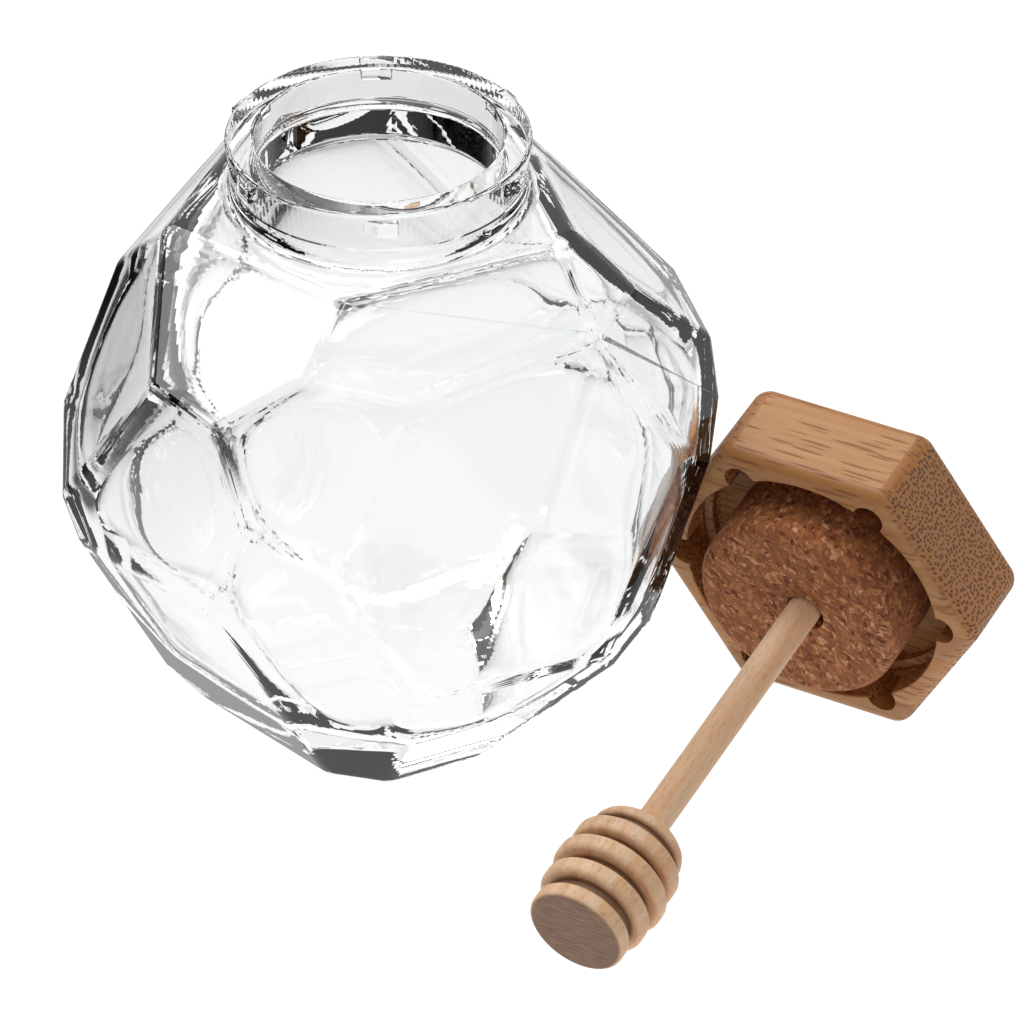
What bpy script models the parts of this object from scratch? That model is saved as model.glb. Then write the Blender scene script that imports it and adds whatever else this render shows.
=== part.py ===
"""Faceted glass honey pot with its bamboo lid, cork plug and honey dipper laid beside it.

Metres, +Z up, the pot's neck axis on Z, its flat base on the plane Z = 0.
The front of the pot faces -Y. Lengths below are in millimetres unless a name says otherwise.
"""

import math

import bmesh
import bpy
from mathutils import Matrix, Vector

MM = 0.001

# Pot, overall
POT_HEIGHT = 104.64
FACET_CENTRE_Z = 53.04
SHOULDER_Z = 95.04
EDGE_ROUND = 1.2
BLOCK_HALF = 120.0

# Each facet of the pot: azimuth to the right of the front, elevation, distance from the facet centre
FACETS = {
    "front_hexagon": (27.6, -1.9, 37.7),
    "front_upper": (23.4, 43.5, 48.2),
    "front_left": (8.0, 7.5, 44.6),
    "left_upper": (-36.7, 55.9, 50.8),
    "left_middle": (-47.0, -6.7, 46.1),
    "left_side": (-82.1, 18.9, 46.4),
    "left_side_lower": (-95.0, -19.2, 49.2),
    "left_back_upper": (-111.1, 39.6, 47.1),
    "lower_front_left": (-13.9, -21.1, 44.2),
    "lower_left": (-45.6, -27.9, 46.1),
    "lower_front": (26.6, -27.0, 46.8),
    "lower_front_right": (49.0, -10.7, 47.0),
    "lower_right": (92.6, -16.8, 49.5),
    "lowest_right": (95.8, -51.2, 49.7),
    "right_middle": (66.1, 19.3, 49.5),
    "right_upper": (65.4, 39.2, 51.9),
    "right_side": (105.0, 0.9, 50.8),
    "right_back_upper": (105.5, 41.1, 47.1),
    "back_right": (146.0, 27.2, 44.5),
    "back_left": (-119.6, 17.6, 44.4),
    "back": (182.2, 2.0, 44.5),
    "back_right_upper": (146.4, 32.8, 45.7),
    "back_left_upper": (-165.0, 45.7, 49.9),
    "back_right_lower": (118.0, -28.1, 50.4),
    "back_lower": (165.0, -30.1, 49.3),
    "back_left_lower": (-158.6, -49.8, 44.5),
}

# Inside of the pot
WALL = 4.3
SHOULDER_WALL = 5.5
BASE_THICKNESS = 9.0
CAVITY_SHARPNESS = 22
CAVITY_SUBDIVISIONS = 3

# Neck and rim
RIM_RADIUS = 23.9
BORE_RADIUS = 19.35
LIP_OUTER_ROUND = 0.7
LIP_INNER_ROUND = 0.6
NECK_RADIUS = 23.15
SEAM_RADIUS = 23.35
SEAM_Z = POT_HEIGHT - 6.8
SEAM_HALF_TOP = 0.12
SEAM_HALF_FOOT = 0.32
FLARE_ROUND = 2.2
FLARE_Z = 97.24
FLARE_SWEEP_DEG = 78
FLARE_FOOT_Z = SHOULDER_Z - 0.14
NECK_FOOT_RADIUS = 25.6
NECK_FOOT_Z = 88.0
NECK_STEPS = 60

# Six lugs below the rim and two locating nipples on the flare
LUG_COUNT = 6
LUG_HALF_WIDTH = 2.7
LUG_BLOCK_WIDTH = 2.9
LUG_RADIUS = 24.9
LUG_RAMP_RADIUS = 23.9
LUG_TOP_Z = POT_HEIGHT - 0.9
LUG_BOTTOM_Z = POT_HEIGHT - 3.5
LUG_ROOT_RADIUS = 21.5
LUG_TURN_DEG = 1.7
NIPPLE_RADIUS = 0.75
NIPPLE_AZIMUTHS = (46.0, 226.0)
NIPPLE_AT = (23.3, POT_HEIGHT - 7.8)

# Where the lid lies: the centre of its open face and the direction its dipper points
LID_CENTRE = Vector((68.35, -9.43, 24.88))
LID_AXIS_AZIMUTH = 29.05
LID_AXIS_SLOPE = 10.27

# Lid
LID_CORNERS = 6
LID_CORNER_RADIUS = 29.44
LID_THICKNESS = 16.76
LID_EDGE_ROUND = 2.2
POCKET_RADIUS = 22.3
POCKET_DEPTH = 11.0
GROOVE_RADIUS = 23.4
GROOVE_TOP = 4.6
GROOVE_BOTTOM = 8.4
GROOVE_SLOPE = 0.5
NOTCH_RADIUS = 2.6
NOTCH_REACH = 25.4
NOTCH_DEPTH = 7.6
NOTCH_STEPS = 24
CUT_CLEAR = 3.0

# Cork plug
CORK_RADIUS = 17.4
CORK_STANDS_OUT = 5.7
CORK_EDGE_ROUND = 2.0
CORK_DISH_RADIUS = 12.0
CORK_DISH_DEPTH = 0.7
GAP = 0.3
ROD_HOLE_RADIUS = 3.4
ROD_HOLE_DEPTH = 13.0
ROD_HOLE_SHIFT = (-0.3, 0.2, 0.0)
ROD_HOLE_STEPS = 32

# Dipper: it stands a little askew in the cork
ROD_RADIUS = 2.7
ROD_EXIT = (-1.3, -0.4)
DIPPER_END = (0.3, 2.6, 79.5)
HEAD_LENGTH = 22.1
DISC_RADII = (7.8, 9.1, 9.6, 9.1, 8.2)
DISC_WIDTH = 3.1
DISC_ROUND = 0.9
GROOVE_WIDTH = 1.65
NECK_BETWEEN_DISCS = 6.7
SHOULDER_PROFILE = ((7.4, 1.3), (6.6, 0.5), (5.0, 0.0), (3.2, -0.2), (2.7, -0.7))
DIPPER_STEPS = 40


def clear_scene():
    for obj in list(bpy.data.objects):
        bpy.data.objects.remove(obj, do_unlink=True)


def srgb(code):
    """The linear colour of an sRGB hex code."""
    values = [int(code[i : i + 2], 16) / 255 for i in (0, 2, 4)]
    return [v / 12.92 if v <= 0.04045 else ((v + 0.055) / 1.055) ** 2.4 for v in values] + [1.0]


def material(name, colour, roughness, transmission=0.0):
    made = bpy.data.materials.new(name)
    made.use_nodes = True
    shader = made.node_tree.nodes["Principled BSDF"]
    shader.inputs["Base Color"].default_value = srgb(colour)
    shader.inputs["Roughness"].default_value = roughness
    shader.inputs["Metallic"].default_value = 0.0
    shader.inputs["Transmission Weight"].default_value = transmission
    made.diffuse_color = srgb(colour)
    return made


def add_object(name, work, matrix=None, cutter=False):
    """Makes an object of a bmesh held in millimetres, with its faces outward."""
    if matrix is not None:
        bmesh.ops.transform(work, matrix=matrix, verts=work.verts)
    bmesh.ops.scale(work, vec=(MM, MM, MM), verts=work.verts)
    bmesh.ops.recalc_face_normals(work, faces=work.faces)
    mesh = bpy.data.meshes.new(name)
    work.to_mesh(mesh)
    work.free()
    made = bpy.data.objects.new(name, mesh)
    bpy.context.scene.collection.objects.link(made)
    if cutter:
        made.hide_render = True
        made.display_type = "WIRE"
    return made


def add_boolean(target, operation, other):
    modifier = target.modifiers.new(f"{operation.lower()}_{other.name}", "BOOLEAN")
    modifier.operation = operation
    modifier.solver = "EXACT"
    modifier.object = other


def arc(centre, radius, start_deg, end_deg, steps):
    """Points (radius, height) on a circle about centre, both ends included."""
    turns = [math.radians(start_deg + (end_deg - start_deg) * i / steps) for i in range(steps + 1)]
    return [(centre[0] + radius * math.cos(a), centre[1] + radius * math.sin(a)) for a in turns]


def lathe(profile, steps):
    """A solid of revolution about Z from (radius, height) points that start and end on the axis."""
    work = bmesh.new()
    verts = [work.verts.new((r, 0.0, z)) for r, z in profile]
    edges = [work.edges.new(pair) for pair in zip(verts, verts[1:])]
    bmesh.ops.spin(
        work,
        geom=verts + edges,
        cent=(0.0, 0.0, 0.0),
        axis=(0.0, 0.0, 1.0),
        angle=math.tau,
        steps=steps,
        use_merge=True,
    )
    bmesh.ops.remove_doubles(work, verts=work.verts, dist=1e-4)
    return work


def facing(azimuth, elevation):
    """The unit vector at an azimuth to the right of the front and an elevation, both in degrees."""
    a, e = math.radians(azimuth), math.radians(elevation)
    return Vector((math.sin(a) * math.cos(e), -math.cos(a) * math.cos(e), math.sin(e)))


def facet_planes():
    """(direction, distance from the facet centre, glass behind it) of each flat face."""
    planes = [(facing(a, e), d, WALL) for a, e, d in FACETS.values()]
    planes.append((Vector((0, 0, 1)), SHOULDER_Z - FACET_CENTRE_Z, SHOULDER_WALL))
    planes.append((Vector((0, 0, -1)), FACET_CENTRE_Z, BASE_THICKNESS))
    return planes


def smooth_by_angle(target, degrees):
    """Shades smooth, with the edges sharper than this angle kept crisp."""
    with bpy.context.temp_override(object=target, active_object=target, selected_objects=[target]):
        bpy.ops.object.shade_smooth_by_angle(angle=math.radians(degrees))


def faceted_block():
    """A block sawn flat once for each facet, its edges fire-polished round."""
    work = bmesh.new()
    bmesh.ops.create_cube(work, size=2 * BLOCK_HALF)
    bmesh.ops.translate(work, vec=(0, 0, FACET_CENTRE_Z), verts=work.verts)
    centre = Vector((0, 0, FACET_CENTRE_Z))
    for normal, distance, _ in facet_planes():
        cut = bmesh.ops.bisect_plane(
            work,
            geom=work.verts[:] + work.edges[:] + work.faces[:],
            plane_co=centre + normal * distance,
            plane_no=normal,
            clear_outer=True,
            dist=1e-5,
        )
        rim = [item for item in cut["geom_cut"] if isinstance(item, bmesh.types.BMEdge)]
        if rim:
            bmesh.ops.contextual_create(work, geom=rim)
    bmesh.ops.bevel(
        work,
        geom=work.edges[:],
        offset=EDGE_ROUND,
        offset_type="OFFSET",
        segments=2,
        profile=0.5,
        affect="EDGES",
        clamp_overlap=True,
    )
    return work


def cavity():
    """The inside: a ball pushed out towards every facet, which leaves soft edges and an even wall."""
    walls = [(normal, distance - wall) for normal, distance, wall in facet_planes()]
    work = bmesh.new()
    bmesh.ops.create_icosphere(work, subdivisions=CAVITY_SUBDIVISIONS, radius=1.0)
    for vert in work.verts:
        way = vert.co.normalized()
        total = sum(max(0.0, n.dot(way) / d) ** CAVITY_SHARPNESS for n, d in walls)
        vert.co = way * total ** (-1 / CAVITY_SHARPNESS) + Vector((0, 0, FACET_CENTRE_Z))
    return work


def neck_blank():
    """The neck before it is bored: lip, seam ridge and the flare down to the shoulder."""
    lip = (RIM_RADIUS - LIP_OUTER_ROUND, POT_HEIGHT - LIP_OUTER_ROUND)
    flare = (NECK_RADIUS + FLARE_ROUND, FLARE_Z)
    profile = [(0, NECK_FOOT_Z), (NECK_FOOT_RADIUS, NECK_FOOT_Z), (NECK_FOOT_RADIUS, FLARE_FOOT_Z)]
    profile += arc(flare, FLARE_ROUND, 180 + FLARE_SWEEP_DEG, 180, 4)
    profile += [(NECK_RADIUS, SEAM_Z - SEAM_HALF_FOOT), (SEAM_RADIUS, SEAM_Z - SEAM_HALF_TOP)]
    profile += [(SEAM_RADIUS, SEAM_Z + SEAM_HALF_TOP), (NECK_RADIUS, SEAM_Z + SEAM_HALF_FOOT)]
    profile += arc(lip, LIP_OUTER_ROUND, 0, 90, 4)
    profile += [(0, POT_HEIGHT)]
    return lathe(profile, NECK_STEPS)


def bore():
    """The hole through the neck, which rounds the inside of the lip."""
    lip = (BORE_RADIUS + LIP_INNER_ROUND, POT_HEIGHT - LIP_INNER_ROUND)
    profile = [(0, FACET_CENTRE_Z), (BORE_RADIUS, FACET_CENTRE_Z)]
    profile += arc(lip, LIP_INNER_ROUND, 180, 105, 3)
    profile += [(lip[0], POT_HEIGHT + CUT_CLEAR), (0, POT_HEIGHT + CUT_CLEAR)]
    return lathe(profile, NECK_STEPS)


def lugs():
    """Six wedge-shaped lugs: a block at the right, a ramp falling away to the left."""
    work = bmesh.new()
    block_left = LUG_HALF_WIDTH - LUG_BLOCK_WIDTH
    outline = [
        (-LUG_HALF_WIDTH, LUG_ROOT_RADIUS),
        (LUG_HALF_WIDTH, LUG_ROOT_RADIUS),
        (LUG_HALF_WIDTH, LUG_RADIUS),
        (block_left, LUG_RADIUS),
        (-LUG_HALF_WIDTH, LUG_RAMP_RADIUS),
    ]
    for i in range(LUG_COUNT):
        turn = Matrix.Rotation(math.radians(LUG_TURN_DEG) + math.tau * i / LUG_COUNT, 4, "Z")
        floor = work.faces.new([work.verts.new(turn @ Vector((t, -r, LUG_BOTTOM_Z))) for t, r in outline])
        raised = bmesh.ops.extrude_face_region(work, geom=[floor])["geom"]
        top = [item for item in raised if isinstance(item, bmesh.types.BMVert)]
        bmesh.ops.translate(work, vec=(0, 0, LUG_TOP_Z - LUG_BOTTOM_Z), verts=top)
    return work


def nipples():
    work = bmesh.new()
    for azimuth in NIPPLE_AZIMUTHS:
        spot = facing(azimuth, 0) * NIPPLE_AT[0] + Vector((0, 0, NIPPLE_AT[1]))
        bmesh.ops.create_icosphere(
            work, subdivisions=2, radius=NIPPLE_RADIUS, matrix=Matrix.Translation(spot)
        )
    return work


def lid_frame():
    """Turns the lid's own axes to where it lies: X to a corner, Z out of the open face."""
    a, s = math.radians(LID_AXIS_AZIMUTH), math.radians(LID_AXIS_SLOPE)
    out = Vector((-math.sin(a) * math.cos(s), -math.cos(a) * math.cos(s), -math.sin(s)))
    corner = Vector((-math.cos(a), math.sin(a), 0))
    side = out.cross(corner)
    turned = Matrix((corner, side, out)).transposed().to_4x4()
    return Matrix.Translation(LID_CENTRE) @ turned


def hexagon_block():
    """The solid lid: a hexagon with a corner on its X axis, thickened away from the open face."""
    work = bmesh.new()
    turns = [math.tau * i / LID_CORNERS for i in range(LID_CORNERS)]
    corners = [(LID_CORNER_RADIUS * math.cos(t), LID_CORNER_RADIUS * math.sin(t), 0) for t in turns]
    work.faces.new([work.verts.new(spot) for spot in corners])
    grown = bmesh.ops.extrude_face_region(work, geom=work.faces[:])["geom"]
    far = [item for item in grown if isinstance(item, bmesh.types.BMVert)]
    bmesh.ops.translate(work, vec=(0, 0, -LID_THICKNESS), verts=far)
    bmesh.ops.bevel(
        work,
        geom=work.edges[:],
        offset=LID_EDGE_ROUND,
        offset_type="OFFSET",
        segments=4,
        profile=0.5,
        affect="EDGES",
    )
    return work


def pocket():
    """The round pocket with the undercut groove that the lugs turn into."""
    profile = [
        (0, -POCKET_DEPTH),
        (POCKET_RADIUS, -POCKET_DEPTH),
        (POCKET_RADIUS, -GROOVE_BOTTOM - GROOVE_SLOPE),
        (GROOVE_RADIUS, -GROOVE_BOTTOM),
        (GROOVE_RADIUS, -GROOVE_TOP),
        (POCKET_RADIUS, -GROOVE_TOP + GROOVE_SLOPE),
        (POCKET_RADIUS, CUT_CLEAR),
        (0, CUT_CLEAR),
    ]
    return lathe(profile, NECK_STEPS)


def notches():
    """Six round entries for the lugs, one towards each corner of the hexagon."""
    work = bmesh.new()
    reach = NOTCH_REACH - NOTCH_RADIUS
    middle = (CUT_CLEAR - NOTCH_DEPTH) / 2
    for i in range(LID_CORNERS):
        turn = math.tau * i / LID_CORNERS
        bmesh.ops.create_cone(
            work,
            cap_ends=True,
            segments=NOTCH_STEPS,
            radius1=NOTCH_RADIUS,
            radius2=NOTCH_RADIUS,
            depth=CUT_CLEAR + NOTCH_DEPTH,
            matrix=Matrix.Translation((reach * math.cos(turn), reach * math.sin(turn), middle)),
        )
    return work


def cork_blank():
    rim = (CORK_RADIUS - CORK_EDGE_ROUND, CORK_STANDS_OUT - CORK_EDGE_ROUND)
    profile = [
        (0, -POCKET_DEPTH + GAP),
        (CORK_RADIUS - CORK_EDGE_ROUND, -POCKET_DEPTH + GAP),
        (CORK_RADIUS, -POCKET_DEPTH + GAP + CORK_EDGE_ROUND),
    ]
    profile += arc(rim, CORK_EDGE_ROUND, 0, 90, 5)
    profile += [(CORK_DISH_RADIUS, CORK_STANDS_OUT), (0, CORK_STANDS_OUT - CORK_DISH_DEPTH)]
    return lathe(profile, NECK_STEPS)


def dipper_frame():
    """The dipper's axes inside the lid's: it leaves the cork at ROD_EXIT and ends at DIPPER_END."""
    start = Vector((ROD_EXIT[0], ROD_EXIT[1], CORK_STANDS_OUT))
    out = (Vector(DIPPER_END) - start).normalized()
    turned = Vector((0, 0, 1)).rotation_difference(out).to_matrix().to_4x4()
    return Matrix.Translation(start) @ turned


def rod_hole():
    profile = [(0, -ROD_HOLE_DEPTH), (ROD_HOLE_RADIUS, -ROD_HOLE_DEPTH)]
    profile += [(ROD_HOLE_RADIUS, CUT_CLEAR), (0, CUT_CLEAR)]
    return lathe(profile, ROD_HOLE_STEPS)


def dipper():
    """One turning: a straight rod, a rounded shoulder and five discs with grooves between."""
    length = (Vector(DIPPER_END) - Vector((ROD_EXIT[0], ROD_EXIT[1], CORK_STANDS_OUT))).length
    z = length
    profile = []
    for i, radius in enumerate(reversed(DISC_RADII)):
        low = z - DISC_WIDTH
        profile += arc((radius - DISC_ROUND, z - DISC_ROUND), DISC_ROUND, 90, 0, 3)
        if i < len(DISC_RADII) - 1:
            profile += arc((radius - DISC_ROUND, low + DISC_ROUND), DISC_ROUND, 0, -90, 3)
            profile += [(NECK_BETWEEN_DISCS, low), (NECK_BETWEEN_DISCS, low - GROOVE_WIDTH)]
            z = low - GROOVE_WIDTH
    profile += [(radius, length - HEAD_LENGTH + height) for radius, height in SHOULDER_PROFILE]
    profile += [(ROD_RADIUS, -ROD_HOLE_DEPTH + GAP), (0, -ROD_HOLE_DEPTH + GAP)]
    return lathe([(0, length)] + profile, DIPPER_STEPS)


clear_scene()

# Pot
pot = add_object("pot", faceted_block())
add_boolean(pot, "UNION", add_object("neck_blank", neck_blank(), cutter=True))
add_boolean(pot, "UNION", add_object("lug_blanks", lugs(), cutter=True))
add_boolean(pot, "UNION", add_object("nipple_blanks", nipples(), cutter=True))
add_boolean(pot, "DIFFERENCE", add_object("cavity_tool", cavity(), cutter=True))
add_boolean(pot, "DIFFERENCE", add_object("bore_tool", bore(), cutter=True))
pot.data.materials.append(material("clear_glass", "E9EDEE", 0.02, transmission=1.0))

# Lid, cork and dipper, each in the lid's axes
lying = lid_frame()
lid = add_object("lid", hexagon_block(), lying)
add_boolean(lid, "DIFFERENCE", add_object("pocket_tool", pocket(), lying, cutter=True))
add_boolean(lid, "DIFFERENCE", add_object("notch_tool", notches(), lying, cutter=True))
lid.data.materials.append(material("bamboo", "C79A62", 0.5))

cork = add_object("cork", cork_blank(), lying)
drilled = lying @ dipper_frame() @ Matrix.Translation(ROD_HOLE_SHIFT)
add_boolean(cork, "DIFFERENCE", add_object("rod_hole_tool", rod_hole(), drilled, cutter=True))
cork.data.materials.append(material("cork_agglomerate", "9C6B4B", 0.85))

stick = add_object("dipper", dipper(), lying @ dipper_frame())
stick.data.materials.append(material("turned_wood", "C39A7B", 0.55))

for piece, angle in ((pot, 20), (lid, 30), (cork, 30), (stick, 35)):
    smooth_by_angle(piece, angle)
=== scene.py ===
# %% [markdown]
# # A faceted glass honey pot
# The object is a hollow, many-sided glass pot with its bamboo lid, cork plug and turned dipper lying beside it.
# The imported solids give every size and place. Each piece here stands where its solid stands and adds what the
# solids leave out: fine rounded edges, soft inner walls, crumbs in the cork, grain in the wood, and light.

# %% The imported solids
import math

import bmesh
import bpy
from mathutils import Matrix, Vector, noise


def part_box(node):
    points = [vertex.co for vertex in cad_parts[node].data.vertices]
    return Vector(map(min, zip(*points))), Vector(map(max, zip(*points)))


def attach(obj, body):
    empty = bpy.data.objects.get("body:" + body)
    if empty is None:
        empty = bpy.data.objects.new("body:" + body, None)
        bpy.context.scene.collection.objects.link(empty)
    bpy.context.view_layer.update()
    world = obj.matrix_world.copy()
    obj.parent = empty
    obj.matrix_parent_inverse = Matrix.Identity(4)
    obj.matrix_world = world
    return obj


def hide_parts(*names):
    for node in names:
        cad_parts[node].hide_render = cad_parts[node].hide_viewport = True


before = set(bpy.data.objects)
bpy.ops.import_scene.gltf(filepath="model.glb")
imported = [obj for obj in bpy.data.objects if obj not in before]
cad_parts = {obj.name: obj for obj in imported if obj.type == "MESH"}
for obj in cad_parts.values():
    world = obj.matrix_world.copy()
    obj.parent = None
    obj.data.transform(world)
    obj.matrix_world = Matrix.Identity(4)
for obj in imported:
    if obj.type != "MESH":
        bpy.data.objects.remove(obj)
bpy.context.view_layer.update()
MM = 0.001
for name in sorted(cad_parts):
    low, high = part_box(name)
    print(f"{name}: {', '.join(f'{(b - a) / MM:.1f}' for a, b in zip(low, high))} mm")

# %% [markdown]
# ## The camera
# The picture was taken with a long lens from about 1.25 metres away, looking down a little more than 34 degrees.
# A long lens keeps the upright lines nearly parallel, so the camera's place and tilt alone set the view.

# %% Camera
lens = bpy.data.cameras.new("studio_camera")
lens.sensor_width = 36
lens.lens = 272.05
camera = bpy.data.objects.new("studio_camera", lens)
camera.location = (0.020674, -1.021378, 0.734211)
camera.rotation_euler = (math.radians(55.5513), 0, 0)
bpy.context.scene.collection.objects.link(camera)
bpy.context.scene.camera = camera
print(f"camera {camera.location.length:.2f} m from the pot's base")

# %% [markdown]
# ## Helpers
# Shapes are made in millimetres and scaled once, which keeps the numbers readable. One function turns a bmesh
# into an object, one bakes modifiers into a plain mesh, and one adds a node with its settings and links.

# %% Making objects
def add_piece(name, work, matrix=None):
    if matrix is not None:
        bmesh.ops.transform(work, matrix=matrix, verts=work.verts)
    bmesh.ops.scale(work, vec=(MM, MM, MM), verts=work.verts)
    bmesh.ops.recalc_face_normals(work, faces=work.faces)
    mesh = bpy.data.meshes.new(name)
    work.to_mesh(mesh)
    work.free()
    made = bpy.data.objects.new(name, mesh)
    bpy.context.scene.collection.objects.link(made)
    return made


def bake(piece):
    """Turns what the modifiers give into the object's own plain mesh."""
    graph = bpy.context.evaluated_depsgraph_get()
    mesh = bpy.data.meshes.new_from_object(
        piece.evaluated_get(graph), preserve_all_data_layers=True, depsgraph=graph
    )
    piece.modifiers.clear()
    piece.data = mesh
    mesh.name = piece.name
    return piece


def carve(piece, operation, tool):
    """Adds or removes a tool's shape, then deletes the tool."""
    modifier = piece.modifiers.new(tool.name, "BOOLEAN")
    modifier.operation = operation
    modifier.solver = "EXACT"
    modifier.object = tool
    bake(piece)
    bpy.data.objects.remove(tool)


def even_shading(piece, crisp_degrees):
    """Smooth shading that keeps large faces flat: the big faces weigh most at each corner."""
    with bpy.context.temp_override(object=piece, active_object=piece, selected_objects=[piece]):
        bpy.ops.object.shade_smooth_by_angle(angle=math.radians(crisp_degrees))
    modifier = piece.modifiers.new("weigh", "WEIGHTED_NORMAL")
    modifier.mode = "FACE_AREA"
    modifier.weight = 50
    modifier.keep_sharp = True
    bake(piece)

# %% Making nodes
def add_node(tree, kind, inputs=None, stops=None, **settings):
    """One node with its settings; an input is a value, or a socket to link from."""
    made = tree.nodes.new(kind)
    for name, value in settings.items():
        setattr(made, name, value)
    for key, value in (inputs or {}).items():
        if isinstance(value, bpy.types.NodeSocket):
            tree.links.new(value, made.inputs[key])
        else:
            made.inputs[key].default_value = value
    for i, (place, colour) in enumerate(stops or []):
        stop = made.color_ramp.elements[i] if i < 2 else made.color_ramp.elements.new(place)
        stop.position = place
        stop.color = srgb(colour)
    return made


def srgb(code):
    """The linear colour of an sRGB hex code."""
    values = [int(code[i : i + 2], 16) / 255 for i in (0, 2, 4)]
    return [v / 12.92 if v <= 0.04045 else ((v + 0.055) / 1.055) ** 2.4 for v in values] + [1.0]


def new_finish(name, code, roughness):
    made = bpy.data.materials.new(name)
    made.use_nodes = True
    shader = made.node_tree.nodes["Principled BSDF"]
    shader.inputs["Base Color"].default_value = srgb(code)
    shader.inputs["Roughness"].default_value = roughness
    made.diffuse_color = srgb(code)
    return made, made.node_tree, shader

# %% Turned and curved outlines
def arc(centre, radius, start_deg, end_deg, steps):
    turns = [math.radians(start_deg + (end_deg - start_deg) * i / steps) for i in range(steps + 1)]
    return [(centre[0] + radius * math.cos(a), centre[1] + radius * math.sin(a)) for a in turns]


def lathe(profile, steps):
    """A solid of revolution about Z from (radius, height) points that start and end on the axis."""
    work = bmesh.new()
    verts = [work.verts.new((r, 0.0, z)) for r, z in profile]
    edges = [work.edges.new(pair) for pair in zip(verts, verts[1:])]
    bmesh.ops.spin(
        work, geom=verts + edges, cent=(0, 0, 0), axis=(0, 0, 1), angle=math.tau, steps=steps, use_merge=True
    )
    bmesh.ops.remove_doubles(work, verts=work.verts, dist=1e-4)
    return work


def facing(azimuth, elevation):
    """The unit vector at an azimuth to the right of the front and an elevation, both in degrees."""
    a, e = math.radians(azimuth), math.radians(elevation)
    return Vector((math.sin(a) * math.cos(e), -math.cos(a) * math.cos(e), math.sin(e)))

# %% [markdown]
# ## A ring of copies
# The pot has six lugs round its neck and the lid has six entries for them. Both are one shape repeated at equal
# turns about an axis, which is what Geometry Nodes do well: points at the centre, one instance on each, and a
# rotation worked out from the point's number.

# %% The ring tree
ring_tree = bpy.data.node_groups.new("ring_of_copies", "GeometryNodeTree")
for label, kind in (("Shape", "Geometry"), ("Copies", "Int"), ("First Angle", "Float"), ("Finish", "Material")):
    ring_tree.interface.new_socket(label, in_out="INPUT", socket_type=f"NodeSocket{kind}")
ring_tree.interface.new_socket("Ring", in_out="OUTPUT", socket_type="NodeSocketGeometry")
given = add_node(ring_tree, "NodeGroupInput").outputs
spots = add_node(ring_tree, "GeometryNodePoints", {"Count": given["Copies"]})
number = add_node(ring_tree, "GeometryNodeInputIndex")
step = add_node(ring_tree, "ShaderNodeMath", {0: math.tau, 1: given["Copies"]}, operation="DIVIDE")
turn = add_node(
    ring_tree,
    "ShaderNodeMath",
    {0: number.outputs[0], 1: step.outputs[0], 2: given["First Angle"]},
    operation="MULTIPLY_ADD",
)
about_z = add_node(ring_tree, "ShaderNodeCombineXYZ", {"Z": turn.outputs[0]})
placed = add_node(
    ring_tree,
    "GeometryNodeInstanceOnPoints",
    {"Points": spots.outputs[0], "Instance": given["Shape"], "Rotation": about_z.outputs[0]},
)
solid = add_node(ring_tree, "GeometryNodeRealizeInstances", {"Geometry": placed.outputs[0]})
coated = add_node(
    ring_tree, "GeometryNodeSetMaterial", {"Geometry": solid.outputs[0], "Material": given["Finish"]}
)
add_node(ring_tree, "NodeGroupOutput", {"Ring": coated.outputs[0]})


def grow(piece, tree, **values):
    """Runs a tree on a piece, with its inputs set by the sockets' identifiers, and keeps the plain mesh."""
    modifier = piece.modifiers.new(tree.name, "NODES")
    modifier.node_group = tree
    for socket in tree.interface.items_tree:
        key = socket.name.lower().replace(" ", "_")
        if socket.in_out == "INPUT" and key in values:
            modifier[socket.identifier] = values[key]
    bake(piece)
    print(f"{piece.name}: {tree.name} made {len(piece.data.polygons)} faces")
    return piece

# %% [markdown]
# ## Clear glass
# The pot is pressed soda-lime glass, as most jars are. It has almost no colour in walls this thin, an index of
# refraction of 1.52, and a fire-polished skin that is smooth but a little wavy from the mould. The eye reads
# it by what it bends: pale in the middle, with dark lines where an edge or a thick wall throws the view aside.

# %% Soda-lime glass
glass, tree, shader = new_finish("soda_lime_glass", "FCFDFD", 0.0)
shader.inputs["IOR"].default_value = 1.52
shader.inputs["Transmission Weight"].default_value = 1.0
SKIN_WAVE_MM = 9.0
SKIN_RIPPLE_MM = 2.4
place = add_node(tree, "ShaderNodeTexCoord")
wave = add_node(
    tree,
    "ShaderNodeTexNoise",
    {"Vector": place.outputs["Object"], "Scale": 1 / (SKIN_WAVE_MM * MM), "Detail": 2.0, "Roughness": 0.45},
)
ripple = add_node(
    tree,
    "ShaderNodeTexNoise",
    {"Vector": place.outputs["Object"], "Scale": 1 / (SKIN_RIPPLE_MM * MM), "Detail": 1.0},
)
skin = add_node(
    tree, "ShaderNodeMath", {0: ripple.outputs[0], 1: 0.12, 2: wave.outputs[0]}, operation="MULTIPLY_ADD"
)
bump = add_node(tree, "ShaderNodeBump", {"Strength": 0.5, "Distance": 0.05 * MM, "Height": skin.outputs[0]})
tree.links.new(bump.outputs[0], shader.inputs["Normal"])

# %% [markdown]
# ## The faceted body
# The outside is cut like a gem: a flat face for each direction in the table, at its own distance from the
# middle. Cutting a block once for each face gives true planes that meet in straight edges, and a small bevel
# gives the soft edge that the glass gets as it leaves the mould.

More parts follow.
